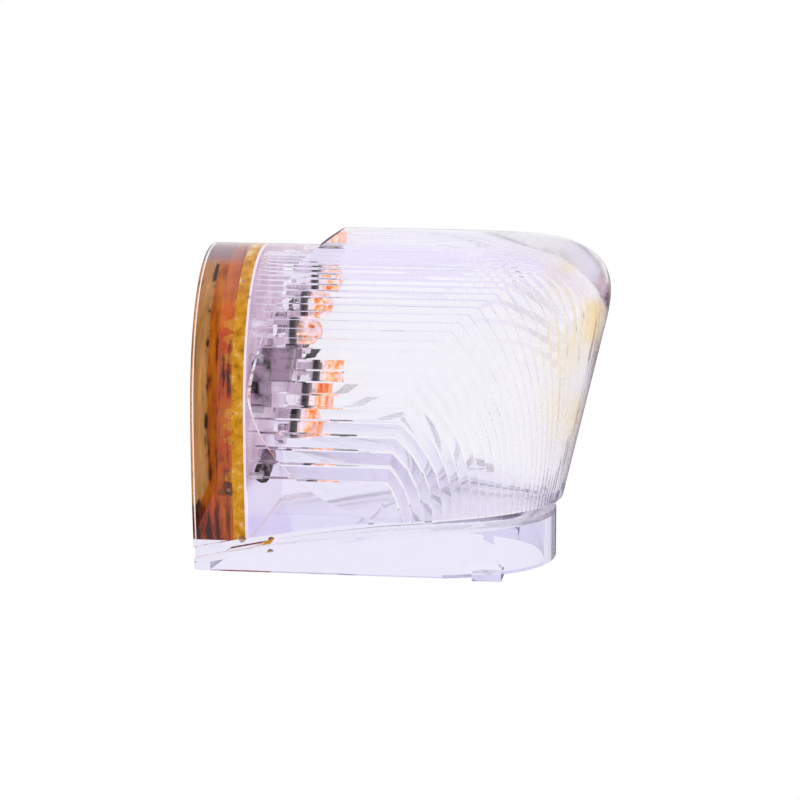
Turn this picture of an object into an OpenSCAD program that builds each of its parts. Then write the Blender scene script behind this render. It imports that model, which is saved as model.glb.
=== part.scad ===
// Clear vehicle indicator lamp with six small LEDs, potted from behind.
// The nose of the lens points along +X, the potted back along -X, and the lamp stands on its foot at z = 0.

/* [Drum] */
// Half the width of the drum at its widest height
drum_half_w = 13.7; // [13:0.1:15]
// Half the width of the drum at its foot
foot_half_w = 12.4; // [12:0.1:12.8]
// Height of the widest part of the drum
waist_z = 17; // [16:0.5:18]
// Height of the crest of the drum
drum_top_z = 35.5; // [34.5:0.1:36.5]
// Place of the open back of the drum
back_x = -22.9; // [-25:0.1:-22]
// Thickness of the drum's wall round the resin
wall = 1.8; // [1.5:0.1:2.2]
// Fullness of the arched section, where 2 is an ellipse
arch_power = 2.2; // [2:0.05:2.5]

/* [Exposed window] */
// How far the window stands proud of the drum at the sides
window_proud = 1.5; // [1:0.1:2]
// How far the window stands proud of the drum at the crest
window_rise = 2; // [1.5:0.1:2.5]
// How far back the window's edge reaches
window_tip_x = -16.5; // [-17.5:0.1:-15.5]
// Height of that rearmost point
window_tip_z = 20.5; // [19:0.1:22]
// How fast the upper edge of the window leans forward
window_lean = 0.142; // [0.12:0.002:0.16]
// How much more the upper edge of the window slopes where it meets the crest
window_slope = 0.9; // [0:0.1:1.4]
// Fullness of the lower edge of the window
window_power = 1.75; // [1.6:0.05:2]

/* [Nose] */
// Place of the nose at the lower edge of the window
nose_x = 17.9; // [17:0.1:19]
// Forward lean of the nose for each millimetre of height
nose_lean = 0.232; // [0.15:0.01:0.26]
// Where the crest starts to curve down into the nose
corner_x = 9.8; // [8:0.1:11]
// Height at which the nose starts to curve back
corner_z = 27; // [25:0.1:28]
// Fullness of the corner between crest and nose
corner_power = 2.8; // [2.4:0.1:3]
// Where the sides start to curve in towards the nose, seen from above
plan_x = -1.2; // [-3:0.1:1]
// Fullness of the plan, where 2 is an ellipse
plan_power = 2.2; // [2:0.05:2.4]
// Thickness of the lens at its nose
nose_wall = 2.8; // [2.4:0.1:3.2]

/* [Groove and foot] */
// Height of the foot flange at the nose
flange_nose_z = 5.9; // [5.6:0.1:6.4]
// Radius of the curved panel that the flange follows
panel_r = 178; // [170:1:240]
// Height of the groove that takes the edge of the panel
groove_h = 1.3; // [1:0.1:1.5]
// Half the width of the neck inside the groove
neck_half_w = 11.9; // [11.6:0.1:12.1]
// Place of the nose of the neck
neck_nose_x = 14.9; // [14.4:0.1:15.2]
// Place of the nose of the foot flange
foot_nose_x = 16.9; // [16:0.1:17.2]
// Half the width of the foot flange at its upper edge
flange_half_w = 13.1; // [12.8:0.1:13.4]
// Thickness of the rim round the hollow under the foot
foot_rim = 1.6; // [1.3:0.1:2]
// Thickness of the web over the hollow under the foot, below the groove
foot_web = 0.9; // [0.8:0.1:1]

/* [Snap lugs] */
// Place of the middle of a snap lug
lug_x = 9.8; // [8.5:0.1:10.5]
// Width of a snap lug
lug_w = 2.2; // [1.8:0.1:2.6]
// Height of a snap lug
lug_h = 4.9; // [4.4:0.1:5.1]
// Distance of a lug's outer face from the middle of the lamp
lug_y = 10.9; // [10.6:0.1:11.3]
// How far the toe of a lug stands out
lug_toe = 2.2; // [1.8:0.1:2.4]
// Thickness of the toe
toe_t = 0.8; // [0.6:0.1:1]

/* [Inner ribs] */
// Number of stepped ribs on each side of the lens
rib_count = 28; // [24:1:30]
// Depth of the step at each rib
rib_step = 0.5; // [0.3:0.05:0.6]
// Height of the lowest rib
rib_low_z = 11; // [10.5:0.1:12]
// How much the ribs crowd towards the crest
rib_crowd = 2.35; // [2.1:0.05:2.6]
// How much the ribs crowd towards the nose
foot_crowd = 2.5; // [2.2:0.05:2.7]
// Where the lowest rib turns down
mitre_x = -0.9; // [-2:0.1:0]
// Where the lowest rib meets the floor
rib_foot_x = 0.6; // [0.4:0.1:1.5]
// Steepness of a rib where it turns down, in degrees from level
mitre_angle = 40; // [35:1:50]

/* [Board and resin] */
// Depth of the pocket behind the lens for the board and the resin
pocket_depth = 6.05; // [5.8:0.05:6.5]
// Height of the pocket's floor
pocket_floor_z = 3.5; // [3.4:0.1:3.8]
// Width of the ledge that the board sits on
ledge = 0.45; // [0.3:0.05:0.6]
// Thickness of the circuit board
board_t = 1.6; // [1.2:0.1:1.8]
// Gap between the board and the pocket's wall
board_gap = 0.1; // [0.05:0.05:0.15]
// How far the back of the resin lies inside the pocket at its lowest point
resin_recess = 0.5; // [0.3:0.1:0.7]
// How far the back of the resin lies inside the pocket above the slope
resin_depth = 2.7; // [2:0.1:2.8]
// Thickness of the film of resin on the drum's wall, behind the sloped face
resin_film = 0.25; // [0.2:0.05:0.4]
// Height where the slope of the resin's back begins
resin_slope_z = 4.6; // [4:0.1:6]
// Height where the slope of the resin's back ends
resin_level_z = 10; // [9:0.5:14]

/* [LEDs] */
// Distance from the middle of an outer LED to the side wall of the cavity
led_side_gap = 4.25; // [4.2:0.05:4.5]
// Height of the lower row of LEDs
led_low_z = 15.3; // [14.8:0.1:16]
// Distance between the rows of LEDs
led_pitch_z = 10.8; // [10.4:0.1:11]
// Diameter of an LED's body
led_d = 3; // [2.8:0.1:3]
// Length of an LED's body
led_len = 5.3; // [5:0.1:5.6]
// Diameter of an LED's flange
led_flange_d = 3.8; // [3.6:0.1:3.9]
// Thickness of an LED's flange
led_flange_t = 1; // [0.8:0.1:1.1]
// Height of an LED's flange over the board
led_standoff = 2.8; // [2.6:0.1:3.2]
// Distance between an LED's two leads
lead_pitch = 1.6; // [1.5:0.1:1.7]
// Width of a lead
lead_w = 0.5; // [0.45:0.05:0.55]
// How far a lead's trimmed end stands out behind the board
lead_tip = 1.5; // [1.3:0.1:1.7]

/* [Solder and components] */
// Radius of a solder joint at the board
solder_r = 0.72; // [0.65:0.01:0.75]
// Height of a solder joint
solder_h = 1; // [0.8:0.1:1.1]
// Thickness of the copper pads
copper_t = 0.07; // [0.05:0.01:0.1]
// Diameter of the diode's body
diode_d = 2.3; // [2:0.1:2.3]
// Length of the diode's body
diode_len = 4.6; // [4.2:0.1:5]
// Diameter of a resistor's body
resistor_d = 1.8; // [1.6:0.1:2]
// Length of a resistor's body
resistor_len = 4.2; // [3.8:0.1:4.5]
// Distance of a resistor's or the diode's middle from the board
lift = 1.4; // [1.2:0.1:1.8]
// Diameter of a transistor's round body
transistor_d = 4.2; // [4:0.1:4.3]
// Height of a transistor's body
transistor_h = 3.4; // [3:0.1:4]
// Diameter of a supply wire over its sleeve
supply_d = 1.6; // [1.4:0.05:1.8]
// Diameter of the holes in the board
hole_d = 0.9; // [0.8:0.05:1]

/* [Hidden] */

$fn = 48;
eps = 0.01;
ledge_x = back_x + pocket_depth;
board_back_x = ledge_x - board_t;
resin_back_x = back_x + resin_recess;
led_base_x = ledge_x + led_standoff;
window_half_w = drum_half_w + window_proud;
window_top_z = drum_top_z + window_rise;
pocket_half_w = drum_half_w - wall;
pocket_top_z = drum_top_z - wall;
cavity_half_w = pocket_half_w - ledge;
cavity_top_z = pocket_top_z - ledge;
cavity_foot_w = foot_half_w - wall - ledge;
led_pitch_y = cavity_half_w - led_side_gap;
nose_foot_z = flange_nose_z + groove_h + 0.9;
// The places of the six LEDs on the board: the lower row, then the upper row
led_places = [for (row = [0, 1]) for (column = [-1, 0, 1])
    [column * led_pitch_y, led_low_z + row * led_pitch_z]];
// The places of the components on the board, between and beside the LEDs
row_mid_z = led_low_z + led_pitch_z / 2;
resistor_span = resistor_len + 1.4;
diode_span = diode_len + 1.4;
resistor_places = [[-led_pitch_y, led_low_z - 4.6], [led_pitch_y, led_low_z - 4.6]];
diode_place = [-cavity_half_w + diode_d / 2 + 1.2, row_mid_z];
transistor_places = [[-led_pitch_y / 2, row_mid_z], [led_pitch_y / 2, row_mid_z]];
supply_places = [[-1.7, led_low_z - 7], [1.7, led_low_z - 7]];
sleeve_front_x = board_back_x - copper_t - solder_h - 0.2;

// Sections and outlines

// Half the width below the waist, which draws in towards the foot
function taper(z, half_w, foot_w) = half_w - (half_w - foot_w) * pow((waist_z - z) / waist_z, 2);

// Half the width of an arched section at the height z
function arch_half(z, half_w, top, foot_w) =
    z <= waist_z ? taper(z, half_w, foot_w)
    : half_w * pow(max(0, 1 - pow((z - waist_z) / (top - waist_z), arch_power)), 1 / arch_power);

// Outline of an arched section from the height low upwards
function arch_outline(half_w, top, foot_w, low) =
    let (steps = 6, turns = 40,
         side = [for (i = [0:steps - 1]) let (z = low + (waist_z - low) * i / steps)
             [taper(z, half_w, foot_w), z]],
         arch = [for (i = [0:turns]) let (a = 180 * i / turns)
             [half_w * sign(cos(a)) * pow(abs(cos(a)), 2 / arch_power),
              waist_z + (top - waist_z) * pow(sin(a), 2 / arch_power)]])
    concat(side, arch, [for (i = [steps - 1:-1:0]) [-side[i][0], side[i][1]]]);

// Outline seen from above: straight sides that curve in to a nose
function plan_outline(half_w, nose, back) =
    let (turns = 40)
    concat([[back, -half_w]],
           [for (i = [0:turns]) let (a = -90 + 180 * i / turns)
               [plan_x + (nose - plan_x) * pow(cos(a), 2 / plan_power),
                half_w * sign(sin(a)) * pow(abs(sin(a)), 2 / plan_power)]],
           [[back, half_w]]);

// Height of the curved panel line along the lamp
function panel_z(x) = flange_nose_z - pow(foot_nose_x - x, 2) / (2 * panel_r);

// Side outline between two heights over the panel line
function panel_band(from, to, back, front) =
    let (steps = 12, xs = [for (i = [0:steps]) back + (front - back) * i / steps])
    concat([for (x = xs) [x, panel_z(x) + from]],
           [for (i = [steps:-1:0]) [xs[i], panel_z(xs[i]) + to]]);

// Side outline from under the ground up to a height over the panel line
function under_panel(to, back, front) =
    let (steps = 11, xs = [for (i = [0:steps]) back + (front - back) * i / steps])
    concat([[back, -2], [front, -2]], [for (i = [steps:-1:0]) [xs[i], panel_z(xs[i]) + to]]);

// Side outline of the hollow behind the resin, whose face slopes down to the rim of the pocket
function resin_hollow() =
    [[back_x - 1, resin_slope_z], [resin_back_x, resin_slope_z], [back_x + resin_depth, resin_level_z],
     [back_x + resin_depth, drum_top_z], [back_x - 1, drum_top_z]];

module along_x(from, to) {
    translate([from, 0, 0]) rotate([90, 0, 90]) linear_extrude(to - from) children();
}

module across(half_w) {
    rotate([90, 0, 0]) linear_extrude(2 * half_w, center = true) children();
}

// Lens skins

// Place of the nose at a height: a leaning line that curves back into the crest
function nose_at(z, top, inset) =
    let (line = nose_x - inset + nose_lean * (z - nose_foot_z))
    z <= corner_z ? line
    : corner_x + (line - corner_x)
      * pow(max(0, 1 - pow((z - corner_z) / (top - corner_z), corner_power)), 1 / corner_power);

// Height of the crest at x, found by repeated correction
function crest_at(x, top, inset, tries = 8) =
    x <= corner_x ? top
    : let (z = tries == 0 ? top - 2 : crest_at(x, top, inset, tries - 1),
           reach = nose_x - inset + nose_lean * (z - nose_foot_z) - corner_x)
      corner_z + (top - corner_z)
      * pow(max(0, 1 - pow((x - corner_x) / reach, corner_power)), 1 / corner_power);

// Half the width of a skin at a point of its side view
function skin_half(x, z, skin) =
    let (half = arch_half(z, skin[0], skin[1], skin[2]))
    x <= plan_x ? half
    : half * pow(max(0, 1 - pow((x - plan_x) / (nose_at(z, skin[1], skin[3]) - plan_x), plan_power)),
                 1 / plan_power);

// A rib is level up to the mitre and then sweeps down to the foot. The value f runs from 0 at the
// lowest rib to 1 at the middle of the lamp.
function rib_height(f, top) = top - (top - rib_low_z) * pow(1 - f, rib_crowd);
function mitre_at(f, skin) =
    mitre_x + 8 * f + (13.7 - skin[3]) * (1 - cos(180 * pow(max(0, f), 1.15))) / 2;
function rib_foot(f, tip) = tip - (tip - rib_foot_x) * pow(1 - f, foot_crowd);

// Side view of the level part of a rib at x
function level_at(x, f, skin) =
    let (z = rib_height(f, skin[1]),
         side = pow(0.95 * min(1, 1 - f), plan_power),
         ahead = plan_x + (x - plan_x) / pow(1 - side, 1 / plan_power))
    [x, z <= waist_z ? z
        : waist_z + (z - waist_z) * (crest_at(ahead, skin[1], skin[3]) - waist_z) / (skin[1] - waist_z)];

// Side view of the swept part of a rib, for t from 0 at the mitre to 1 at the foot
function sweep_at(t, f, skin) =
    let (tip_z = panel_z(foot_nose_x) + skin[4],
         tip = nose_at(tip_z, skin[1], skin[3]),
         foot_x = rib_foot(f, tip),
         foot_z = panel_z(foot_x) + skin[4],
         start = level_at(mitre_at(f, skin), f, skin),
         a = mitre_angle + (90 - mitre_angle) * t,
         z = foot_z + (start[1] - foot_z) * cos(a) / cos(mitre_angle),
         share_foot = (foot_x - plan_x) / (tip - plan_x),
         share_start = (start[0] - plan_x) / (nose_at(start[1], skin[1], skin[3]) - plan_x),
         share = share_foot - (share_foot - share_start) * (1 - sin(a)) / (1 - sin(mitre_angle)))
    [plan_x + (nose_at(z, skin[1], skin[3]) - plan_x) * share, z];

// Where a rib would reach the flat base that lies under the foot of the skin
function under_foot(f, skin) =
    let (tip_z = panel_z(foot_nose_x) + skin[4],
         tip = nose_at(tip_z, skin[1], skin[3]),
         share = (rib_foot(f, tip) - plan_x) / (tip - plan_x))
    [plan_x + (nose_at(skin[6], skin[1], skin[3]) - plan_x) * share, skin[6]];

// A skin drawn inwards by d, towards the middle of the lamp
function draw_in(p, d, skin) =
    [p[0] > plan_x ? plan_x + (p[0] - plan_x) * (1 - d / (nose_x - plan_x)) : p[0],
     p[1] * (1 - d / skin[0]),
     p[2] > waist_z ? waist_z + (p[2] - waist_z) * (1 - d / (skin[1] - waist_z)) : p[2]];

// One row of a skin: the level part and the swept part of the rib at f, drawn in by d
function skin_row(f, d, skin, level_n, sweep_n) =
    let (turn = mitre_at(f, skin), knee = min(plan_x, turn) - 2.5,
         xs = concat([skin[5]], [for (i = [0:level_n - 1]) knee + (turn - knee) * i / (level_n - 1)]),
         flat_part = [for (x = xs) level_at(x, f, skin)],
         swept = [for (i = [1:sweep_n]) sweep_at(i / sweep_n, f, skin)],
         under = under_foot(f, skin))
    [for (p = concat(flat_part, swept, [under]))
        draw_in([p[0], f >= 1 ? 0 : -skin_half(p[0], p[1], skin), p[1]], d, skin)];

// The lowest row of a skin, level and below its floor
function base_row(skin, level_n, sweep_n) =
    let (turn = mitre_x - 1.2, end = rib_foot_x - 1.7, z = skin[6],
         xs = concat([for (i = [0:level_n]) skin[5] + (turn - skin[5]) * i / level_n],
                     [for (i = [1:sweep_n + 1]) turn + (end - turn) * i / (sweep_n + 1)]))
    [for (x = xs) [x, -skin_half(x, z, skin), z]];

// A closed skin from rows of one side: the other side is its mirror image, and the last row is shared.
// Its back and its base are flat.
module skin_solid(rows) {
    last = len(rows) - 1;
    across_n = len(rows[0]);
    edge = across_n - 1;
    points = concat([for (row = rows) for (p = row) p],
                    [for (r = [0:last - 1]) for (p = rows[r]) [p[0], -p[1], p[2]]]);
    function near(r, j) = r * across_n + j;
    function far(r, j) = r == last ? near(r, j) : (last + 1 + r) * across_n + j;
    sides = [for (r = [0:last - 1]) for (j = [0:edge - 1]) each [
        [near(r, j), near(r + 1, j), near(r + 1, j + 1)],
        [near(r, j), near(r + 1, j + 1), near(r, j + 1)],
        [far(r, j), far(r + 1, j + 1), far(r + 1, j)],
        [far(r, j), far(r, j + 1), far(r + 1, j + 1)]]];
    base = concat([for (j = [0:edge]) near(0, j)], [for (r = [1:last]) near(r, edge)],
                  [for (r = [last - 1:-1:1]) far(r, edge)], [for (j = [edge:-1:0]) far(0, j)]);
    back = concat([for (r = [last:-1:0]) near(r, 0)], [for (r = [0:last - 1]) far(r, 0)]);
    polyhedron(points, concat(sides, [base], [back]));
}

// A skin is given by half width, crest, half width at the foot, inset of the nose, height of its
// floor over the panel line, place of its back, and the height of its flat base.
outer_skin = [window_half_w, window_top_z, foot_half_w + 0.5, 0, groove_h / 2, window_tip_x - 1.5, 3];
inner_skin = [cavity_half_w, cavity_top_z, cavity_foot_w, nose_wall, groove_h - 0.9, ledge_x - 0.4, 2];

// The smooth outer form of the exposed window
module window_form() {
    n = 18;
    skin_solid(concat([base_row(outer_skin, 7, 11)],
                      [for (i = [0:n]) skin_row(i / n, 0, outer_skin, 7, 11)]));
}

// The cavity of the lens, with a step at each rib
module ribbed_cavity() {
    draft = 0.08 / rib_count;
    intersection() {
        skin_solid(concat([base_row(inner_skin, 5, 9)],
                          [for (n = [0:rib_count - 1]) each [
                              skin_row(n / rib_count - draft, 0, inner_skin, 5, 9),
                              skin_row(n / rib_count, rib_step, inner_skin, 5, 9)]],
                          [skin_row(1, 0, inner_skin, 5, 9)]));
        across(drum_half_w + 2) polygon(panel_band(groove_h - 0.4, window_top_z, back_x, nose_x + 10));
    }
}

// Side view of the window: a leaning rear edge, a rounded tip and a swept lower edge
module window_outline() {
    steps = 15;
    low = panel_z(0) + groove_h;
    over = window_top_z + 3;
    upper = [for (i = [steps:-1:1]) let (z = window_tip_z + (over - window_tip_z) * i / steps)
        [window_tip_x + window_lean * pow(z - window_tip_z, 1.35) + window_slope * max(0, z - drum_top_z + 0.6), z]];
    lower = [for (i = [0:steps]) let (a = 90 * i / steps)
        [window_tip_x * pow(cos(a), 2 / window_power),
         window_tip_z - (window_tip_z - low) * pow(sin(a), 2 / window_power)]];
    front = nose_x + 12;
    below = [for (i = [0:steps]) let (x = 1 + (front - 1) * i / steps) [x, panel_z(x) + groove_h / 2]];
    polygon(concat(upper, lower, [[0.2, low - groove_h / 2]], below, [[front, over]]));
}

// Pieces of the lens

module drum_form() {
    along_x(back_x, plan_x + 1.5) polygon(arch_outline(drum_half_w, drum_top_z, foot_half_w, 1));
}

module flange_form() {
    intersection() {
        linear_extrude(flange_nose_z + groove_h) polygon(plan_outline(flange_half_w, foot_nose_x, back_x - 1));
        along_x(back_x, foot_nose_x + 1)
            polygon(arch_outline(flange_half_w + 1, drum_top_z, foot_half_w, -1));
        across(drum_half_w + 2) polygon(under_panel(groove_h / 2, back_x - 2, foot_nose_x + 2));
    }
}

module neck_form() {
    translate([0, 0, 1])
        linear_extrude(flange_nose_z + groove_h + 0.4)
            polygon(plan_outline(neck_half_w + 0.2, neck_nose_x + 0.2, back_x + 0.6));
}

module groove_cut() {
    difference() {
        across(window_half_w + 2) polygon(panel_band(0, groove_h, back_x - 1, nose_x + 3));
        linear_extrude(flange_nose_z + 2 * groove_h) polygon(plan_outline(neck_half_w, neck_nose_x, back_x - 2));
    }
}

module pocket_cut() {
    along_x(back_x - 1, ledge_x)
        polygon(arch_outline(pocket_half_w, pocket_top_z, foot_half_w - wall, pocket_floor_z));
}

module foot_cut() {
    intersection() {
        translate([0, 0, -1]) linear_extrude(flange_nose_z + 1)
            polygon(plan_outline(foot_half_w - foot_rim, foot_nose_x - foot_rim, back_x + foot_rim));
        translate([0, 0, -foot_web]) across(foot_half_w)
            polygon(under_panel(0, back_x - 1, foot_nose_x + 1));
    }
}

// A lug is a rib on the side of the foot that flares into a toe, which snaps under the panel
module snap_lug(side) {
    steps = 4;
    toe_w = lug_w + 1.1;
    function reach(i) = lug_y + (i == 0 ? lug_toe : 0);
    function wide(i) = lug_w + (toe_w - lug_w) * pow(1 - i / steps, 2);
    function height(i) = toe_t + (lug_h - toe_t) * pow(i / steps, 1.5);
    for (i = [0:steps - 1])
        hull() for (k = [i, i + 1])
            translate([lug_x - lug_w / 2, side > 0 ? 0 : -lug_y, height(k) - 0.05])
                cube([wide(k), lug_y, 0.05]);
    translate([lug_x - lug_w / 2, side > 0 ? 0 : -reach(0), 0]) cube([toe_w, reach(0), toe_t]);
}

module lens_body() {
    color("#e6e4f6", 0.45)
    difference() {
        union() {
            drum_form();
            intersection() {
                window_form();
                across(window_half_w + 2) window_outline();
            }
            neck_form();
            flange_form();
            for (side = [-1, 1]) snap_lug(side);
        }
        groove_cut();
        pocket_cut();
        ribbed_cavity();
        foot_cut();
    }
}

// Board, resin and what they hold

// Where leads pass through the board
led_lead_places = [for (p = led_places) each [for (s = [-1, 1]) [p[0], p[1] + s * lead_pitch / 2]]];
resistor_lead_places = [for (p = resistor_places) each [for (s = [-1, 1]) [p[0] + s * resistor_span / 2, p[1]]]];
diode_lead_places = [for (s = [-1, 1]) [diode_place[0], diode_place[1] + s * diode_span / 2]];
transistor_lead_places = [for (p = transistor_places) each [for (s = [-1, 0, 1]) [p[0] + s * lead_pitch, p[1]]]];
component_lead_places = concat(resistor_lead_places, diode_lead_places, transistor_lead_places);
lead_places = concat(led_lead_places, component_lead_places, supply_places);
joint_x = board_back_x - copper_t;
lead_end_x = board_back_x - lead_tip;

// A square lead between two places along the lamp
module lead_at(p, from, to) {
    translate([from, p[0] - lead_w / 2, p[1] - lead_w / 2]) cube([to - from, lead_w, lead_w]);
}

module board_holes() {
    for (p = lead_places)
        translate([board_back_x - 1, p[0], p[1]]) rotate([0, 90, 0]) cylinder(d = hole_d, h = board_t + 2);
}

module circuit_board() {
    color("#b98f35")
    difference() {
        along_x(board_back_x, ledge_x)
            polygon(arch_outline(pocket_half_w - board_gap, pocket_top_z - board_gap,
                                 foot_half_w - wall - board_gap, pocket_floor_z + board_gap));
        board_holes();
    }
}

module pad_disc(p) {
    translate([joint_x, p[0], p[1]]) rotate([0, 90, 0]) cylinder(r = solder_r + 0.04, h = copper_t);
}

module copper_pads() {
    color("#c9803f")
    difference() {
        for (p = lead_places) pad_disc(p);
        board_holes();
    }
}

// A solder joint is a cone round a lead's end
module solder_cone(p, more) {
    translate([joint_x - solder_h - more, p[0], p[1]]) rotate([0, 90, 0])
        cylinder(r1 = 0.42 + more, r2 = solder_r + more, h = solder_h + more);
}

module solder_joints() {
    color("#c4c6cb")
    difference() {
        for (p = lead_places) solder_cone(p, 0);
        for (p = lead_places) lead_at(p, lead_end_x - 1, board_back_x + 1);
    }
}

// The resin fills the pocket behind the board, round every joint and wire
module potting_resin() {
    color("#c8640a", 0.9)
    difference() {
        along_x(resin_back_x, board_back_x)
            polygon(arch_outline(pocket_half_w, pocket_top_z, foot_half_w - wall, pocket_floor_z));
        intersection() {
            along_x(back_x - 1, back_x + resin_depth + 1)
                polygon(arch_outline(pocket_half_w - resin_film, pocket_top_z - resin_film,
                                     foot_half_w - wall - resin_film, pocket_floor_z));
            across(drum_half_w) polygon(resin_hollow());
        }
        for (p = lead_places) {
            solder_cone(p, 0.01);
            pad_disc(p);
        }
        for (p = concat(led_lead_places, component_lead_places)) lead_at(p, lead_end_x, board_back_x + 1);
        for (p = supply_places)
            translate([back_x - 1, p[0], p[1]]) rotate([0, 90, 0]) cylinder(d = supply_d, h = sleeve_front_x - back_x + 1);
        for (p = supply_places) lead_at(p, sleeve_front_x - 0.1, board_back_x + 1);
    }
}

// LEDs

// The two halves of a lead frame: a cup with its lead, and a post with its lead
module frame_form(p) {
    for (s = [-1, 1]) {
        q = [p[0], p[1] + s * lead_pitch / 2];
        lead_at(q, lead_end_x, led_base_x + 1.4);
        translate([ledge_x, q[0] - lead_w / 2, q[1] - 0.45]) cube([lead_w, lead_w, 0.9]);
    }
    translate([led_base_x + 1.4, p[0] - lead_w / 2, p[1] - lead_pitch / 2 - lead_w / 2]) cube([1, lead_w, 1.45]);
    translate([led_base_x + 1.4, p[0] - lead_w / 2, p[1] + lead_pitch / 2 - 0.25]) cube([1.3, lead_w, 0.5]);
}

module led_frame(n) {
    color("#8d8f94") frame_form(led_places[n - 1]);
}

module led_body(n) {
    p = led_places[n - 1];
    color("#f0ead8", 0.5)
    difference() {
        translate([led_base_x, p[0], p[1]]) rotate([0, 90, 0]) union() {
            cylinder(d = led_flange_d, h = led_flange_t);
            cylinder(d = led_d, h = led_len - led_d / 2);
            translate([0, 0, led_len - led_d / 2]) sphere(d = led_d);
        }
        frame_form(p);
    }
}

// Components on the front of the board

module series_resistor(n) {
    p = resistor_places[n - 1];
    color("#2c2a2e")
    translate([ledge_x + lift, p[0] - resistor_len / 2, p[1]]) rotate([-90, 0, 0]) union() {
        cylinder(d = resistor_d, h = resistor_len);
    }
}

module polarity_diode() {
    p = diode_place;
    color("#161418")
    translate([ledge_x + lift, p[0], p[1] - diode_len / 2]) cylinder(d = diode_d, h = diode_len);
}

module driver_transistor(n) {
    p = transistor_places[n - 1];
    color("#161418")
    translate([ledge_x + 0.6, p[0], p[1]]) rotate([0, 90, 0])
        difference() {
            cylinder(d = transistor_d, h = transistor_h);
            translate([1.25, -transistor_d, -1]) cube([transistor_d, 2 * transistor_d, transistor_h + 2]);
        }
}

// The wires of the resistors and the diode, and the legs of the transistors
module component_leads() {
    color("#b9babf") {
        for (p = resistor_places) for (s = [-1, 1]) {
            end = [p[0] + s * resistor_span / 2, p[1]];
            lead_at(end, lead_end_x, ledge_x + lift + lead_w / 2);
            translate([ledge_x + lift - lead_w / 2, min(end[0], p[0] + s * resistor_len / 2), p[1] - lead_w / 2])
                cube([lead_w, (resistor_span - resistor_len) / 2, lead_w]);
        }
        for (s = [-1, 1]) {
            end = [diode_place[0], diode_place[1] + s * diode_span / 2];
            lead_at(end, lead_end_x, ledge_x + lift + lead_w / 2);
            translate([ledge_x + lift - lead_w / 2, end[0] - lead_w / 2,
                       min(end[1], diode_place[1] + s * diode_len / 2)])
                cube([lead_w, lead_w, (diode_span - diode_len) / 2]);
        }
        for (q = transistor_lead_places) lead_at(q, lead_end_x, ledge_x + 0.6);
    }
}

// The two supply wires run from the board to the back of the resin
module wire_sleeve(n) {
    p = supply_places[n - 1];
    color(n == 1 ? "#1c1a1c" : "#e8e6e2")
    difference() {
        translate([resin_back_x, p[0], p[1]]) rotate([0, 90, 0]) cylinder(d = supply_d, h = sleeve_front_x - resin_back_x);
        lead_at(p, resin_back_x - 1, sleeve_front_x + 1);
    }
}

module wire_core(n) {
    color("#b8763a") lead_at(supply_places[n - 1], resin_back_x, ledge_x + 0.5);
}

lens_body();
circuit_board();
copper_pads();
solder_joints();
potting_resin();
led_body(1);  // led_body_1
led_body(2);  // led_body_2
led_body(3);  // led_body_3
led_body(4);  // led_body_4
led_body(5);  // led_body_5
led_body(6);  // led_body_6
led_frame(1);  // led_frame_1
led_frame(2);  // led_frame_2
led_frame(3);  // led_frame_3
led_frame(4);  // led_frame_4
led_frame(5);  // led_frame_5
led_frame(6);  // led_frame_6
series_resistor(1);  // series_resistor_1
series_resistor(2);  // series_resistor_2
polarity_diode();
driver_transistor(1);  // driver_transistor_1
driver_transistor(2);  // driver_transistor_2
component_leads();
wire_sleeve(1);  // wire_sleeve_1
wire_sleeve(2);  // wire_sleeve_2
wire_core(1);  // wire_core_1
wire_core(2);  // wire_core_2
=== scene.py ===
import bpy
import bmesh
import math
import random
from collections import namedtuple
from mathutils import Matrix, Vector


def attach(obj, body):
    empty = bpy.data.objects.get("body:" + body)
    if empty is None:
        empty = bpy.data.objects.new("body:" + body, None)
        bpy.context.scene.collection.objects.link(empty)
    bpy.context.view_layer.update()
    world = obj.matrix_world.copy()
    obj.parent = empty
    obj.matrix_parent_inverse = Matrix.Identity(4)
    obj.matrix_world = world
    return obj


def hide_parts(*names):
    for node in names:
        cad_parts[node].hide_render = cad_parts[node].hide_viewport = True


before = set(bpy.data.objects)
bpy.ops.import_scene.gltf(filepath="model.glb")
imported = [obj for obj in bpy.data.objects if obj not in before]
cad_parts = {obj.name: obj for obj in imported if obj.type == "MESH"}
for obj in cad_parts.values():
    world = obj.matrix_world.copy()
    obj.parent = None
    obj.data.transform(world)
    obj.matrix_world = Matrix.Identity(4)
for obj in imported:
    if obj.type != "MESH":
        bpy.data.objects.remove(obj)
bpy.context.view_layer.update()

MM = 0.001

# Sizes of the lamp in millimetres, the same as in its source

drum_half_w = 13.7
foot_half_w = 12.4
waist_z = 17.0
drum_top_z = 35.5
back_x = -22.9
wall = 1.8
arch_power = 2.2
window_proud = 1.5
window_rise = 2.0
window_tip_x = -16.5
window_tip_z = 20.5
window_lean = 0.142
window_slope = 0.9
window_slope_below = 0.6
window_lean_power = 1.35
window_edge_y = 13.4
window_edge_share = 0.95
window_centre_x = 6
window_centre_z = 22
window_power = 1.75
nose_x = 17.9
nose_lean = 0.232
corner_x = 9.8
corner_z = 27.0
corner_power = 2.8
plan_x = -1.2
plan_power = 2.2
nose_wall = 2.8
flange_nose_z = 5.9
panel_r = 178.0
groove_h = 1.3
neck_half_w = 11.9
neck_nose_x = 14.9
foot_nose_x = 16.9
flange_half_w = 13.1
foot_rim = 1.6
foot_web = 0.9
lug_x = 9.8
lug_w = 2.2
lug_h = 4.9
lug_y = 10.9
lug_toe = 2.2
lug_flare = 1.1
lug_sole_z = 0.4
toe_t = 0.8
rib_count = 28
rib_step = 0.5
rib_low_z = 11.0
rib_crowd = 2.35
foot_crowd = 2.5
mitre_x = -0.9
rib_foot_x = 0.6
mitre_angle = 40.0
mitre_shift = 8
mitre_reach = 13.7
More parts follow.
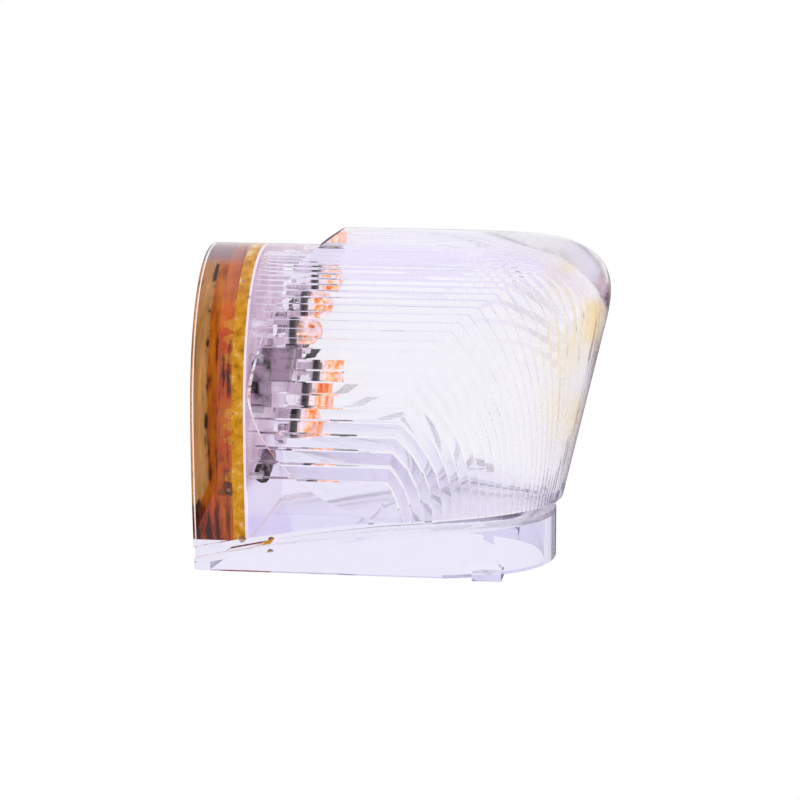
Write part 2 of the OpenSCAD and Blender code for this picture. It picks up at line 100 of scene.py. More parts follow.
mitre_ease = 1.15
pocket_depth = 6.05
pocket_floor_z = 3.5
ledge = 0.45
board_t = 1.6
resin_depth = 2.7
resin_film = 0.25
resin_rim_x = 0.12
resin_slope_z = 4.6
resin_level_z = 10.0
contact = 0.03
led_standoff = 2.8

ledge_x = back_x + pocket_depth
board_back_x = ledge_x - board_t
led_base_x = ledge_x + led_standoff
window_half_w = drum_half_w + window_proud
window_top_z = drum_top_z + window_rise
pocket_half_w = drum_half_w - wall
pocket_top_z = drum_top_z - wall
cavity_half_w = pocket_half_w - ledge
cavity_top_z = pocket_top_z - ledge
cavity_foot_w = foot_half_w - wall - ledge
nose_foot_z = flange_nose_z + groove_h + 0.9


# Camera

def add_camera():
    data = bpy.data.cameras.new("camera")
    data.sensor_width = 36
    data.lens = 135
    data.clip_start = 0.01
    data.clip_end = 10
    cam = bpy.data.objects.new("camera", data)
    bpy.context.scene.collection.objects.link(cam)
    target = Vector((-0.00118, 0, 0.01777))
    azimuth = math.radians(8)
    elevation = math.radians(11)
    away = Vector((math.sin(azimuth) * math.cos(elevation), -math.cos(azimuth) * math.cos(elevation),
                   math.sin(elevation)))
    cam.location = target + away * 0.345
    cam.rotation_euler = (-away).to_track_quat("-Z", "Y").to_euler()
    bpy.context.scene.camera = cam


add_camera()


# Nodes and materials

def srgb(text, alpha=1.0):
    out = []
    for i in (0, 2, 4):
        c = int(text[i:i + 2], 16) / 255
        out.append(c / 12.92 if c <= 0.04045 else ((c + 0.055) / 1.055) ** 2.4)
    return (*out, alpha)


def new_material(name):
    mat = bpy.data.materials.new(name)
    mat.use_nodes = True
    tree = mat.node_tree
    tree.nodes.clear()
    return mat, tree


def node(tree, kind, inputs=None, **settings):
    n = tree.nodes.new(kind)
    for key, value in settings.items():
        setattr(n, key, value)
    for key, value in (inputs or {}).items():
        if isinstance(value, bpy.types.NodeSocket):
            tree.links.new(value, n.inputs[key])
        else:
            n.inputs[key].default_value = value
    return n


def object_coords(tree):
    return node(tree, "ShaderNodeTexCoord").outputs["Object"]


def finish_material(tree, shader):
    node(tree, "ShaderNodeOutputMaterial", {"Surface": shader})


def noise_fac(tree, coords, scale, detail=4.0, rough=0.5):
    return node(tree, "ShaderNodeTexNoise", {"Vector": coords, "Scale": scale, "Detail": detail,
                                             "Roughness": rough}).outputs["Fac"]


def ramp(tree, fac, stops):
    n = node(tree, "ShaderNodeValToRGB", {"Fac": fac})
    while len(n.color_ramp.elements) < len(stops):
        n.color_ramp.elements.new(0.5)
    for element, (place, colour) in zip(n.color_ramp.elements, stops):
        element.position = place
        element.color = colour
    return n.outputs["Color"]


def bump(tree, height, distance, strength=1.0):
    return node(tree, "ShaderNodeBump", {"Height": height, "Distance": distance,
                                         "Strength": strength}).outputs["Normal"]


def scaled(tree, coords, factors):
    """The coordinates with each axis multiplied, so that a pattern is drawn out along an axis."""
    return node(tree, "ShaderNodeMapping", {"Vector": coords, "Scale": factors}).outputs["Vector"]


def part_of(tree, coords, axis):
    return node(tree, "ShaderNodeSeparateXYZ", {"Vector": coords}).outputs[axis]


def maths(tree, operation, first, second=0.5):
    return node(tree, "ShaderNodeMath", {0: first, 1: second}, operation=operation).outputs[0]


def ranged(tree, value, low, high, at_low=0.0, at_high=1.0):
    """A value between low and high, brought to between at_low and at_high."""
    return node(tree, "ShaderNodeMapRange", {"Value": value, "From Min": low, "From Max": high,
                                             "To Min": at_low, "To Max": at_high}).outputs["Result"]


def along(tree, coords, axis, low, high):
    """0 to 1 along an axis between two places in millimetres."""
    return ranged(tree, part_of(tree, coords, axis), low * MM, high * MM)


def blend(tree, fac, first, second):
    return node(tree, "ShaderNodeMix", {0: fac, 6: first, 7: second}, data_type="RGBA").outputs[2]


def clear_acrylic():
    """Almost colourless, lavender in the foot and softer on the far side, with warm patches in the nose
    that are a painted caustic.
    """
    mat, tree = new_material("clear_acrylic")
    coords = object_coords(tree)
    ripple = noise_fac(tree, coords, 90, 2.0)
    tint = ramp(tree, noise_fac(tree, coords, 40, 2.0), [(0.3, srgb("FBFAFF")), (0.7, srgb("FEFDFF"))])
    tint = blend(tree, along(tree, coords, "Z", 7.4, 6.2), tint, srgb("F0EDFD"))
    # The warm patches in the nose are painted light: a caustic painted into the tint.
    painted_caustic = maths(tree, "MULTIPLY", along(tree, coords, "X", 14.5, 19.5), along(tree, coords, "Z", 10, 16))
    patch = ranged(tree, noise_fac(tree, coords, 210, 3.0), 0.42, 0.6)
    painted_caustic = maths(tree, "MULTIPLY", painted_caustic, patch)
    tint = blend(tree, painted_caustic, tint, srgb("FFF5DF"))
    rough = ranged(tree, part_of(tree, coords, "Y"), 2 * MM, 6 * MM, 0.02, 0.12)
    shader = node(tree, "ShaderNodeBsdfPrincipled", {
        "Base Color": tint, "Roughness": rough, "IOR": 1.49, "Transmission Weight": 1.0,
        "Normal": bump(tree, ripple, 0.00002, 0.5)})
    finish_material(tree, shader.outputs["BSDF"])
    return mat


def amber_resin():
    """Streaked amber, with its colour also given as emission, which is painted light. inside is the depth
    under the sloped back, so its film on the wall comes out tan.
    """
    mat, tree = new_material("amber_resin")
    coords = object_coords(tree)
    cloud = noise_fac(tree, scaled(tree, coords, (1.3, 1.0, 0.45)), 330, 5.0, 0.62)
    streak = noise_fac(tree, scaled(tree, coords, (3.2, 1.0, 0.28)), 420, 4.0, 0.6)
    mixed = maths(tree, "ADD", cloud, streak)
    centre = maths(tree, "ABSOLUTE", part_of(tree, coords, "Y"))
    lift = ranged(tree, centre, 8.5 * MM, 11.5 * MM, 0.16, 0.0)
    half = maths(tree, "MULTIPLY", maths(tree, "ADD", mixed, lift), 0.5)
    colour = ramp(tree, half, [(0.41, srgb("200E06")), (0.45, srgb("703000")), (0.49, srgb("B85A00")),
                               (0.62, srgb("DE8204"))])
    tan = ramp(tree, streak, [(0.34, srgb("98723E")), (0.45, srgb("CE9450")), (0.60, srgb("DCA264")),
                              (0.72, srgb("FABE48"))])
    line = ranged(tree, part_of(tree, coords, "Z"), resin_slope_z * MM, resin_level_z * MM,
                  (back_x + 0.2) * MM, (back_x + resin_depth + 0.05) * MM)
    inside = maths(tree, "SUBTRACT", part_of(tree, coords, "X"), line)
    deep = ranged(tree, inside, -0.1 * MM, 0.1 * MM)
    tone = ranged(tree, inside, -1.1 * MM, -1.0 * MM)
    dark = maths(tree, "MULTIPLY", ranged(tree, inside, -1.5 * MM, -1.3 * MM),
                 ranged(tree, inside, -0.9 * MM, -1.1 * MM))
    dark = maths(tree, "MULTIPLY", dark, ranged(tree, cloud, 0.52, 0.46))
    colour = blend(tree, tone, tan, colour)
    colour = blend(tree, dark, colour, srgb("2E2010"))
    colour = blend(tree, along(tree, coords, "Z", 32.9, 33.5), colour, srgb("B79CA2"))
    clear = ranged(tree, deep, 0.0, 1.0, 0.15, 0.92)
    # The emission of the resin's own colour is painted light, though the resin is no lamp.
    shader = node(tree, "ShaderNodeBsdfPrincipled", {
        "Base Color": colour, "Roughness": 0.08, "IOR": 1.5, "Transmission Weight": clear,
        "Specular IOR Level": 0.0, "Emission Color": colour, "Emission Strength": 0.16,
        "Normal": bump(tree, cloud, 0.00005)})
    finish_material(tree, shader.outputs["BSDF"])
    return mat


def glass_fibre_board():
    """Mottled mustard at its edge and mauve on its face, with a painted highlight along its front corner.
    Its colour is also given as emission, painted light that is stronger at the front.
    """
    mat, tree = new_material("glass_fibre_board")
    coords = object_coords(tree)
    mottle = noise_fac(tree, coords, 700, 8.0, 0.7)
    edge = ramp(tree, mottle, [(0.32, srgb("A66E12")), (0.45, srgb("DC9A1E")), (0.57, srgb("F0B238")),
                               (0.70, srgb("FFF0C0"))])
    face = ramp(tree, noise_fac(tree, coords, 300, 3.0), [(0.3, srgb("C6ACC2")), (0.7, srgb("E2CEDF"))])
    face = blend(tree, along(tree, coords, "Z", 10.5, 9.0), face, srgb("ECE6F8"))
    place = part_of(tree, coords, "X")
    on_face = maths(tree, "GREATER_THAN", place, (ledge_x - 0.01) * MM)
    # The pale strip along the front corner is a painted highlight, and the front face and this strip get
    # stronger painted light through the emission.
    painted_light_front = maths(tree, "GREATER_THAN", place, (ledge_x - 0.28) * MM)
    colour = blend(tree, painted_light_front, edge, srgb("F3ECF8"))
    colour = blend(tree, on_face, colour, face)
    # The emission of the board's own colour is painted light.
    shader = node(tree, "ShaderNodeBsdfPrincipled", {
        "Base Color": colour, "Roughness": 0.45, "Specular IOR Level": 0.0, "Emission Color": colour,
        "Emission Strength": ranged(tree, painted_light_front, 0.0, 1.0, 0.3, 0.5),
        "Normal": bump(tree, mottle, 0.00004)})
    finish_material(tree, shader.outputs["BSDF"])
    return mat


def amber_epoxy():
    """Clear at the LED's base and amber in its dome, whose colour is also given as emission: painted light,
    as the LED is not lit.
    """
    mat, tree = new_material("amber_epoxy")
    coords = object_coords(tree)
    cloud = noise_fac(tree, coords, 1300, 4.0, 0.65)
    dome = ramp(tree, cloud, [(0.34, srgb("E04406")), (0.41, srgb("FF8A2A")), (0.47, srgb("FFCB94")),
                              (0.55, srgb("F8E8F2"))])
    base = ramp(tree, cloud, [(0.35, srgb("F3E8F2")), (0.65, srgb("FDF8FD"))])
    place = along(tree, coords, "X", led_base_x + 2.2, led_base_x + 3.4)
    # The dome's emission is painted light.
    shader = node(tree, "ShaderNodeBsdfPrincipled", {
        "Base Color": blend(tree, place, base, dome), "Roughness": 0.03, "IOR": 1.5,
        "Transmission Weight": ranged(tree, place, 0.0, 1.0, 1.0, 0.7), "Emission Color": dome,
        "Emission Strength": maths(tree, "MULTIPLY", place, 0.3)})
    finish_material(tree, shader.outputs["BSDF"])
    return mat


def lead_frame_steel():
    """Bright tinned posts with their colour also given as emission, which is painted light. Under the domes
    they turn dark, a painted shade for the die cups seen through the epoxy.
    """
    mat, tree = new_material("lead_frame_steel")
    coords = object_coords(tree)
    fac = noise_fac(tree, coords, 700, 5.0, 0.6)
    bright = ramp(tree, fac, [(0.3, srgb("C9BCC8")), (0.7, srgb("F2EAF2"))])
    dark = ramp(tree, fac, [(0.3, srgb("14080F")), (0.7, srgb("33202E"))])
    # Past the posts the colour is painted shade, and the emission of the colour is painted light.
    colour = blend(tree, along(tree, coords, "X", led_base_x + 1.5, led_base_x + 1.7), bright, dark)
    shader = node(tree, "ShaderNodeBsdfPrincipled", {
        "Base Color": colour, "Roughness": 0.3, "Metallic": 0.3, "Emission Color": colour,
        "Emission Strength": 0.35, "Normal": bump(tree, fac, 0.00001)})
    finish_material(tree, shader.outputs["BSDF"])
    return mat


def plain_noise_material(name, dark, light, scale, rough, metallic=0.0, extra=None, spread=0.2):
    mat, tree = new_material(name)
    coords = object_coords(tree)
    fac = noise_fac(tree, coords, scale, 6.0, 0.6)
    colour = ramp(tree, fac, [(0.5 - spread, srgb(dark)), (0.5 + spread, srgb(light))])
    inputs = {"Base Color": colour, "Roughness": rough, "Metallic": metallic,
              "Normal": bump(tree, fac, 0.01 * MM)}
    inputs.update(extra or {})
    shader = node(tree, "ShaderNodeBsdfPrincipled", inputs)
    finish_material(tree, shader.outputs["BSDF"])
    return mat


# Meshes

def new_mesh(name, points, faces, scale=MM):
    me = bpy.data.meshes.new(name)
    me.from_pydata([(p[0] * scale, p[1] * scale, p[2] * scale) for p in points], [], faces)
    me.validate()
    me.update()
    ob = bpy.data.objects.new(name, me)
    bpy.context.scene.collection.objects.link(ob)
    return ob


def outward(ob):
    bm = bmesh.new()
    bm.from_mesh(ob.data)
    bmesh.ops.recalc_face_normals(bm, faces=bm.faces)
    bm.to_mesh(ob.data)
    bm.free()
    return ob


def prism(name, outline, place, low, high):
    """A closed prism of an outline between two levels. place turns (u, v, level) into a point."""
    n = len(outline)
    points = [place(u, v, low) for u, v in outline] + [place(u, v, high) for u, v in outline]
    faces = [list(range(n)), list(range(2 * n - 1, n - 1, -1))]
    faces += [[i, n + i, n + (i + 1) % n, (i + 1) % n] for i in range(n)]
    return outward(new_mesh(name, points, faces))


def along_x(name, outline, low, high):
    return prism(name, outline, lambda u, v, t: (t, u, v), low, high)


def across(name, outline, half):
    return prism(name, outline, lambda u, v, t: (u, t, v), -half, half)


def upright(name, outline, low, high):
    return prism(name, outline, lambda u, v, t: (u, v, t), low, high)


def combine(first, second, kind):
    """Boolean of two closed meshes. The second is used up."""
    mod = first.modifiers.new("combine", "BOOLEAN")
    mod.operation = kind
    mod.object = second
    mod.solver = "MANIFOLD"
    bpy.context.view_layer.update()
    graph = bpy.context.evaluated_depsgraph_get()
    me = bpy.data.meshes.new_from_object(first.evaluated_get(graph))
    first.modifiers.remove(mod)
    old = first.data
    first.data = me
    bpy.data.meshes.remove(old)
    bpy.data.objects.remove(second)
    return first


def smooth_by_angle(ob, degrees):
    ob.data.shade_smooth()
    ob.data.set_sharp_from_angle(angle=math.radians(degrees))


# Sections and outlines of the lens

def taper(z, half, foot):
    return half - (half - foot) * ((waist_z - z) / waist_z) ** 2


def arch_half(z, half, top, foot):
    if z <= waist_z:
        return taper(z, half, foot)
    return half * max(0.0, 1 - ((z - waist_z) / (top - waist_z)) ** arch_power) ** (1 / arch_power)


def power_point(a, power):
    c, s = math.cos(a), math.sin(a)
    return (math.copysign(abs(c) ** (2 / power), c), math.copysign(abs(s) ** (2 / power), s))


def arch_outline(half, top, foot, low, steps=16, turns=160):
    side = [(taper(low + (waist_z - low) * i / steps, half, foot), low + (waist_z - low) * i / steps)
            for i in range(steps)]
    arch = []
    for i in range(turns + 1):
        c, s = power_point(math.pi * i / turns, arch_power)
        arch.append((half * c, waist_z + (top - waist_z) * max(0.0, s)))
    return side + arch + [(-y, z) for y, z in reversed(side)]


def plan_outline(half, nose, back, turns=160):
    curve = []
    for i in range(turns + 1):
        c, s = power_point(-math.pi / 2 + math.pi * i / turns, plan_power)
        curve.append((plan_x + (nose - plan_x) * max(0.0, c), half * s))
    return [(back, -half)] + curve + [(back, half)]


def panel_z(x):
    return flange_nose_z - (foot_nose_x - x) ** 2 / (2 * panel_r)


def spaced(a, b, n):
    return [a + (b - a) * i / n for i in range(n + 1)]


def panel_band(low, high, back, front, steps=60):
    xs = spaced(back, front, steps)
    return [(x, panel_z(x) + low) for x in xs] + [(x, panel_z(x) + high) for x in reversed(xs)]


def under_panel(to, back, front, steps=60):
    xs = spaced(back, front, steps)
    return [(back, -2), (front, -2)] + [(x, panel_z(x) + to) for x in reversed(xs)]


# Skins of the lens. half is the half width, top the crest, foot the half width at the foot, inset the
# distance behind the nose's outer face, rise the height over the panel's line where the rows end, and back
# and base the skin's own ends.

Skin = namedtuple("Skin", "half top foot inset rise back base")
outer_skin = Skin(window_half_w, window_top_z, foot_half_w + 0.5, 0, groove_h / 2, window_tip_x - 1.5, 3)
inner_skin = Skin(cavity_half_w, cavity_top_z, cavity_foot_w, nose_wall, groove_h - 0.9, ledge_x - 0.4, 2)


def nose_at(z, top, inset):
    line = nose_x - inset + nose_lean * (z - nose_foot_z)
    if z <= corner_z:
        return line
    share = max(0.0, 1 - ((z - corner_z) / (top - corner_z)) ** corner_power)
    return corner_x + (line - corner_x) * share ** (1 / corner_power)


def crest_at(x, top, inset):
    if x <= corner_x:
        return top
    z = top - 2
    for _ in range(12):
        reach = nose_x - inset + nose_lean * (z - nose_foot_z) - corner_x
        share = max(0.0, 1 - ((x - corner_x) / reach) ** corner_power)
        z = corner_z + (top - corner_z) * share ** (1 / corner_power)
    return z


def skin_half(x, z, skin):
    half = arch_half(z, skin.half, skin.top, skin.foot)
    if x <= plan_x:
        return half
    share = (x - plan_x) / (nose_at(z, skin.top, skin.inset) - plan_x)
    return half * max(0.0, 1 - share ** plan_power) ** (1 / plan_power)


def rib_height(f, top):
    return top - (top - rib_low_z) * (1 - f) ** rib_crowd


def mitre_at(f, skin):
    turn = math.pi * max(0.0, f) ** mitre_ease
    return mitre_x + mitre_shift * f + (mitre_reach - skin.inset) * (1 - math.cos(turn)) / 2


def rib_foot(f, tip):
    return tip - (tip - rib_foot_x) * (1 - f) ** foot_crowd


def level_at(x, f, skin):
    z = rib_height(f, skin.top)
    if z <= waist_z:
        return (x, z)
    side = (0.95 * min(1.0, 1 - f)) ** plan_power
    ahead = plan_x + (x - plan_x) / (1 - side) ** (1 / plan_power)
    crest = crest_at(ahead, skin.top, skin.inset)
    return (x, waist_z + (z - waist_z) * (crest - waist_z) / (skin.top - waist_z))


def foot_share(f, skin):
    tip = nose_at(panel_z(foot_nose_x) + skin.rise, skin.top, skin.inset)
    return rib_foot(f, tip), (rib_foot(f, tip) - plan_x) / (tip - plan_x)


def sweep_at(t, f, skin):
    foot_x, share_foot = foot_share(f, skin)
    foot_z = panel_z(foot_x) + skin.rise
    start = level_at(mitre_at(f, skin), f, skin)
    first = math.radians(mitre_angle)
    a = first + (math.pi / 2 - first) * t
    z = foot_z + (start[1] - foot_z) * math.cos(a) / math.cos(first)
    share_start = (start[0] - plan_x) / (nose_at(start[1], skin.top, skin.inset) - plan_x)
    share = share_foot - (share_foot - share_start) * (1 - math.sin(a)) / (1 - math.sin(first))
    return (plan_x + (nose_at(z, skin.top, skin.inset) - plan_x) * share, z)


def draw_in(p, d, skin):
    x, y, z = p
    if x > plan_x:
        x = plan_x + (x - plan_x) * (1 - d / (nose_x - plan_x))
    if z > waist_z:
        z = waist_z + (z - waist_z) * (1 - d / (skin.top - waist_z))
    return (x, y * (1 - d / skin.half), z)


def skin_row(f, d, skin, level_n, sweep_n):
    turn = mitre_at(f, skin)
    knee = min(plan_x, turn) - 2.5
    side = [level_at(x, f, skin) for x in [skin.back] + spaced(knee, turn, level_n - 1)]
    side += [sweep_at(i / sweep_n, f, skin) for i in range(1, sweep_n + 1)]
    share = foot_share(f, skin)[1]
    side.append((plan_x + (nose_at(skin.base, skin.top, skin.inset) - plan_x) * share, skin.base))
    return [draw_in((x, 0.0 if f >= 1 else -skin_half(x, z, skin), z), d, skin) for x, z in side]


def base_row(skin, level_n, sweep_n):
    turn = mitre_x - 1.2
    end = rib_foot_x - 1.7
    z = skin.base
    xs = spaced(skin.back, turn, level_n) + spaced(turn, end, sweep_n + 1)[1:]
    return [(x, -skin_half(x, z, skin), z) for x in xs]


def skin_solid(name, rows):
    last = len(rows) - 1
    n = len(rows[0])
    edge = n - 1
    points = [p for row in rows for p in row]
    points += [(x, -y, z) for row in rows[:-1] for x, y, z in row]

    def near(r, j):
        return r * n + j

    def far(r, j):
        return near(r, j) if r == last else (last + 1 + r) * n + j

    faces = []
    for r in range(last):
        for j in range(edge):
            faces.append([near(r, j), near(r, j + 1), near(r + 1, j + 1), near(r + 1, j)])
            faces.append([far(r, j), far(r + 1, j), far(r + 1, j + 1), far(r, j + 1)])
    floor = [near(0, j) for j in range(n)] + [near(r, edge) for r in range(1, last + 1)]
    floor += [far(r, edge) for r in range(last - 1, 0, -1)] + [far(0, j) for j in range(edge, -1, -1)]
    faces.append(floor)
    faces.append([near(r, 0) for r in range(last, -1, -1)] + [far(r, 0) for r in range(last)])
    return outward(new_mesh(name, points, faces))


def window_outline():
    steps = 60
    low = panel_z(0) + groove_h
    over = window_top_z + 3
    upper = []
    for i in range(steps, 0, -1):
        z = window_tip_z + (over - window_tip_z) * i / steps
        lean = window_lean * (z - window_tip_z) ** window_lean_power
        lean += window_slope * max(0.0, z - drum_top_z + window_slope_below)
        upper.append((window_tip_x + lean, z))
    lower = []
    for i in range(steps + 1):
        c, s = power_point(math.pi / 2 * i / steps, window_power)
        lower.append((window_tip_x * max(0.0, c), window_tip_z - (window_tip_z - low) * s))
    front = nose_x + 12
    below = [(x, panel_z(x) + groove_h / 2) for x in spaced(1, front, 40)]
    return upper + lower + [(0.2, low - groove_h / 2)] + below + [(front, over)]


def window_edge():
    """The window's side outline, drawn in a little towards its outer face, which gives its edge a slope."""
    outline = window_outline()
    n = len(outline)
    points = []
    far_y = window_half_w + 1
    cx, cz = window_centre_x, window_centre_z
    for y, share in ((-far_y, window_edge_share), (-window_edge_y, 1.0), (window_edge_y, 1.0),
                     (far_y, window_edge_share)):
        points += [(cx + (x - cx) * share, y, cz + (z - cz) * share if z < 36 else z) for x, z in outline]
    faces = [list(range(n)), list(range(4 * n - 1, 3 * n - 1, -1))]
    for level in range(3):
        k = level * n
        faces += [[k + i, k + n + i, k + n + (i + 1) % n, k + (i + 1) % n] for i in range(n)]
    return outward(new_mesh("cut", points, faces))


def window_form():
    n = 84
    rows = [base_row(outer_skin, 40, 50)]
    rows += [skin_row(i / n, 0, outer_skin, 40, 50) for i in range(n + 1)]
    return combine(skin_solid("window", rows), window_edge(), "INTERSECT")


def ribbed_cavity():
    """The cavity's skin. Each rib is a flat tread, with a narrow strip on both sides of its riser, so that
    the corners shade as if they were rounded."""
    rows = [base_row(inner_skin, 36, 48)]
    riser = ((-0.20, 0.012), (-0.11, 0.0), (0.0, 1.0), (0.09, 0.93))
    for n in range(rib_count):
        for place, share in riser:
            rows.append(skin_row((n + place) / rib_count, share * rib_step, inner_skin, 36, 48))
    rows.append(skin_row(1, 0, inner_skin, 36, 48))
    above = across("cut", panel_band(groove_h - 0.4, window_top_z, back_x, nose_x + 10), drum_half_w + 2)
    return combine(skin_solid("cavity", rows), above, "INTERSECT")


def flange_form():
    plan = upright("flange", plan_outline(flange_half_w, foot_nose_x, back_x - 1), 0,
                   flange_nose_z + groove_h)
    arch = along_x("cut", arch_outline(flange_half_w + 1, drum_top_z, foot_half_w, -1), back_x,
                   foot_nose_x + 1)
    plan = combine(plan, arch, "INTERSECT")
    side = across("cut", under_panel(groove_h / 2, back_x - 2, foot_nose_x + 2), drum_half_w + 2)
    return combine(plan, side, "INTERSECT")


def lug_form(side):
    steps = 16
    toe_w = lug_w + lug_flare
    left = lug_x - lug_w / 2
    outline = [(left, lug_sole_z)]
    for i in range(steps + 1):
        t = i / steps
        wide = lug_w + (toe_w - lug_w) * (1 - t) ** 2
        outline.append((left + wide, toe_t + (lug_h - toe_t) * t ** 1.5))
    outline.append((left, lug_h))
    post = prism("lug", outline, lambda u, v, t: (u, t * side, v), 0, lug_y)
    toe = prism("toe", [(left, 0), (left + toe_w, 0), (left + toe_w, toe_t), (left, toe_t)],
                lambda u, v, t: (u, t * side, v), 0, lug_y + lug_toe)
    return combine(post, toe, "UNION")


def lens_form():
    lens = along_x("lens", arch_outline(drum_half_w, drum_top_z, foot_half_w, 1), back_x, plan_x + 1.5)
    neck = upright("neck", plan_outline(neck_half_w + 0.2, neck_nose_x + 0.2, back_x + 0.6), 1,
                   flange_nose_z + groove_h + 1.4)
    for piece in (window_form(), neck, flange_form(), lug_form(-1), lug_form(1)):
        lens = combine(lens, piece, "UNION")
    groove = across("groove", panel_band(0, groove_h, back_x - 1, nose_x + 3), window_half_w + 2)
    core = upright("core", plan_outline(neck_half_w, neck_nose_x, back_x - 2), -1,
                   flange_nose_z + 2 * groove_h)
    groove = combine(groove, core, "DIFFERENCE")
    pocket = along_x("pocket", arch_outline(pocket_half_w, pocket_top_z, foot_half_w - wall,
                                            pocket_floor_z), back_x - 1, ledge_x)
    hollow = upright("hollow", plan_outline(foot_half_w - foot_rim, foot_nose_x - foot_rim,
                                            back_x + foot_rim), -1, flange_nose_z)
    below = across("cut", [(x, z - foot_web) for x, z in under_panel(0, back_x - 1, foot_nose_x + 1)],
                   foot_half_w)
    hollow = combine(hollow, below, "INTERSECT")
    for cut in (groove, pocket, ribbed_cavity(), hollow):
        lens = combine(lens, cut, "DIFFERENCE")
    return lens


def finish_piece(ob, name, replaced, material, angle=30.0):
    ob.name = name
    ob.data.name = name
    ob.data.materials.clear()
    ob.data.materials.append(material)
    smooth_by_angle(ob, angle)
    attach(ob, "root")
    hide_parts(*replaced)
    return ob


def pocket_outline(grow, low):
    """The pocket's arch, wider by grow, with its floor at low."""
    return arch_outline(pocket_half_w + grow, pocket_top_z + grow, foot_half_w - wall + grow, low)


def resin_form():
    """The resin reaches a hair into the drum's wall, as it wets the wall without a gap."""
    solid = along_x("resin", pocket_outline(contact, pocket_floor_z - contact), back_x + resin_rim_x,
                    board_back_x)
    hollow = along_x("hollow", pocket_outline(-resin_film, pocket_floor_z - contact - 1), back_x - 1,
                     back_x + resin_depth + 1)
    side = [(back_x - 2, resin_slope_z), (back_x + resin_rim_x, resin_slope_z),
            (back_x + resin_depth, resin_level_z), (back_x + resin_depth, drum_top_z),
            (back_x - 2, drum_top_z)]
    hollow = combine(hollow, across("cut", side, drum_half_w), "INTERSECT")
    return combine(solid, hollow, "DIFFERENCE")


def board_form():
    return along_x("board", pocket_outline(contact, pocket_floor_z - contact), board_back_x, ledge_x)


lens = lens_form()
finish_piece(lens, "lens", ["lens_body"], clear_acrylic(), 9.0)


# Resin and board

board_mat = glass_fibre_board()
resin_mat = amber_resin()
finish_piece(resin_form(), "resin", ["potting_resin"], resin_mat)
finish_piece(board_form(), "board", ["circuit_board"], board_mat)


# Bubbles at the resin's surface, against the drum's wall

def bubbles():
    random.seed(7)
    bm = bmesh.new()
    places = [(-17.6, 3.6, 0.42), (-17.2, 30.2, 0.3), (-18.0, 31.6, 0.24), (-18.9, 9.4, 0.22)]
    for _ in range(22):
        places.append((random.uniform(-19.9, -17.1), random.uniform(5, 30), random.uniform(0.05, 0.14)))
    for x, z, r in places:
        half = arch_half(z, pocket_half_w, pocket_top_z, foot_half_w - wall)
        for side in (-1, 1):
            made = bmesh.ops.create_icosphere(bm, subdivisions=3, radius=r * MM)["verts"]
            bmesh.ops.scale(bm, verts=made, vec=(1, 0.5, 1.15))
            bmesh.ops.translate(bm, verts=made, vec=(x * MM, side * half * MM, z * MM))
    me = bpy.data.meshes.new("bubbles")
    bm.to_mesh(me)
    bm.free()
    ob = bpy.data.objects.new("bubbles", me)
    bpy.context.scene.collection.objects.link(ob)
    mat, tree = new_material("bubble")
    fac = noise_fac(tree, object_coords(tree), 1200, 3.0)
    shader = node(tree, "ShaderNodeBsdfPrincipled", {
        "Base Color": ramp(tree, fac, [(0.35, srgb("C9B48A")), (0.65, srgb("FBF3E2"))]), "Roughness": 0.08,
        "IOR": 1.2, "Transmission Weight": 0.7})
    finish_material(tree, shader.outputs["BSDF"])
    ob.data.materials.append(mat)
    ob.data.shade_smooth()
    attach(ob, "root")


bubbles()


# Materials for the nodes that stay

epoxy_mat = amber_epoxy()
# The solder's emission is painted light, though solder is no lamp.
solder_mat = plain_noise_material("solder", "8C8C84", "CFCFC4", 900, 0.35, 0.4,
                                  {"Emission Color": srgb("C4C4B4"), "Emission Strength": 0.8})
copper_mat = plain_noise_material("copper", "8A4A22", "C87840", 700, 0.35, 1.0)
# The leads' emission is painted light.
steel_mat = plain_noise_material("tinned_steel", "A49AA2", "E8E0E8", 700, 0.25, 0.35,
                                 {"Emission Color": srgb("D8CCD6"), "Emission Strength": 0.12})
# The black has pale mauve patches, which are a painted sheen, highlights painted into the colour.
black_and_sheen_mat = plain_noise_material("black_epoxy", "14040C", "DCC2D6", 300, 0.5, 0.0,
                                 {"Specular IOR Level": 0.3}, 0.07)
wire_mat = plain_noise_material("black_wire_sleeve", "060607", "0E0E10", 800, 0.5)
white_wire_mat = plain_noise_material("white_wire_sleeve", "CFCBC4", "E8E6E0", 800, 0.5)

node_materials = [
    ("circuit_board", board_mat),
    ("potting_resin", resin_mat),
    ("solder_joints", solder_mat),
    ("copper_pads", copper_mat),
    ("wire_core", copper_mat),
    ("component_leads", steel_mat),
    ("led_frame", lead_frame_steel()),
    ("led_body", epoxy_mat),
    ("wire_sleeve_1", wire_mat),
    ("wire_sleeve_2", white_wire_mat)]

for name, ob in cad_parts.items():
    fitting = [mat for start, mat in node_materials if name.startswith(start)] + [black_and_sheen_mat]
    ob.data.materials.clear()
    ob.data.materials.append(fitting[0])


# Floor, world and lights

# The floor lies a hair under the foot, so that the clear foot keeps a surface of its own against the air
floor_drop = 0.03


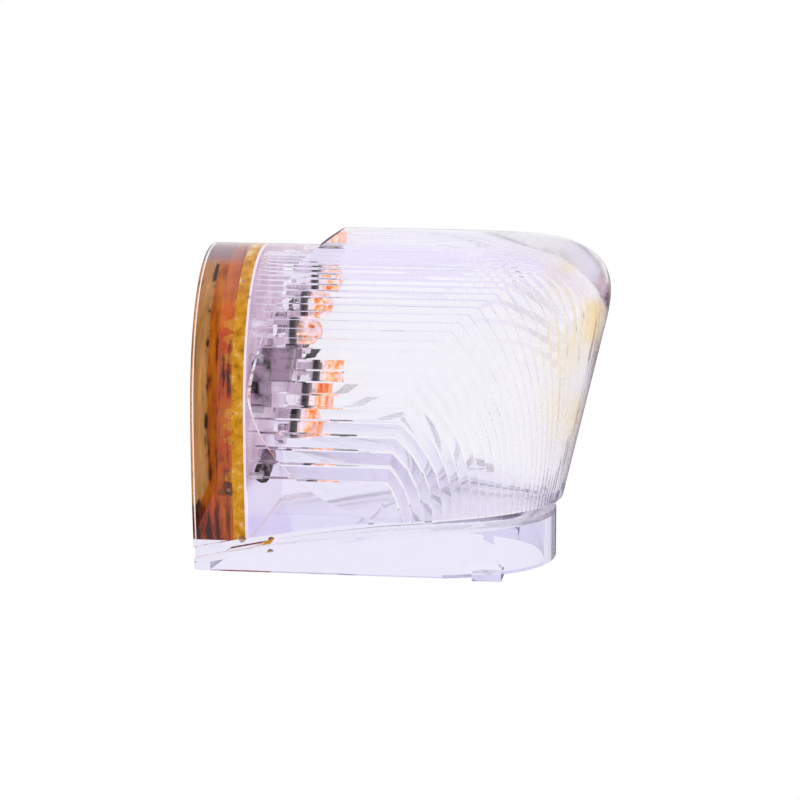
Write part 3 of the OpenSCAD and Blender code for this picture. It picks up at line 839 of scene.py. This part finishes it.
def studio_floor():
    mat, tree = new_material("white_floor")
    path = node(tree, "ShaderNodeLightPath")
    seen = maths(tree, "MAXIMUM", path.outputs["Is Camera Ray"], path.outputs["Is Transmission Ray"])
    plain = node(tree, "ShaderNodeBsdfDiffuse", {"Color": srgb("F4F4F8")})
    mirrored = node(tree, "ShaderNodeEmission", {"Color": srgb("54465C"), "Strength": 1.0})
    bright = node(tree, "ShaderNodeEmission", {"Color": (1, 1, 1, 1), "Strength": 1.0})
    dim = node(tree, "ShaderNodeMixShader", {0: path.outputs["Is Glossy Ray"], 1: plain.outputs[0],
                                             2: mirrored.outputs[0]})
    mix = node(tree, "ShaderNodeMixShader", {0: seen, 1: dim.outputs[0], 2: bright.outputs[0]})
    finish_material(tree, mix.outputs[0])
    z = -floor_drop * MM
    ob = new_mesh("floor", [(-2, -2, z), (2, -2, z), (2, 2, z), (-2, 2, z)], [[0, 1, 2, 3]], 1.0)
    ob.data.materials.append(mat)


def studio_world():
    """White behind the lamp, a little lavender above it. What the lamp's faces mirror from the camera's
    side is dark, so that no veil lies over the resin."""
    world = bpy.data.worlds.new("studio")
    bpy.context.scene.world = world
    world.use_nodes = True
    tree = world.node_tree
    tree.nodes.clear()
    path = node(tree, "ShaderNodeLightPath")
    way = node(tree, "ShaderNodeTexCoord").outputs["Generated"]
    front = ranged(tree, part_of(tree, way, "Y"), -0.2, -0.6)
    high = ranged(tree, part_of(tree, way, "Z"), 0.3, 0.9)
    colour = blend(tree, high, srgb("FFFFFF"), srgb("F4F0FF"))
    room = blend(tree, path.outputs["Is Transmission Ray"], srgb("4E4056"), srgb("F2EEFB"))
    colour = blend(tree, front, colour, room)
    soft = node(tree, "ShaderNodeBackground", {"Color": colour, "Strength": 1.0})
    white = node(tree, "ShaderNodeBackground", {"Color": (1, 1, 1, 1), "Strength": 1.0})
    mix = node(tree, "ShaderNodeMixShader", {0: path.outputs["Is Camera Ray"], 1: soft.outputs[0],
                                             2: white.outputs[0]})
    node(tree, "ShaderNodeOutputWorld", {"Surface": mix.outputs[0]})


def area_light(name, place, size, power, colour="FFFFFF"):
    data = bpy.data.lights.new(name, "AREA")
    data.shape = "DISK"
    data.size = size
    data.energy = power
    data.color = srgb(colour)[:3]
    ob = bpy.data.objects.new(name, data)
    bpy.context.scene.collection.objects.link(ob)
    ob.location = place
    ob.visible_glossy = False
    ob.visible_transmission = False
    ob.rotation_euler = (Vector((0, 0, 0.018)) - Vector(place)).to_track_quat("-Z", "Y").to_euler()
    return ob


studio_floor()
studio_world()
area_light("key", (-0.25, -0.35, 0.45), 0.3, 4.0)
area_light("fill", (0.4, -0.2, 0.25), 0.3, 2.0)
area_light("rim", (0.15, 0.45, 0.35), 0.4, 4.0)
scene = bpy.context.scene
scene.view_settings.view_transform = "Standard"
scene.view_settings.look = "None"
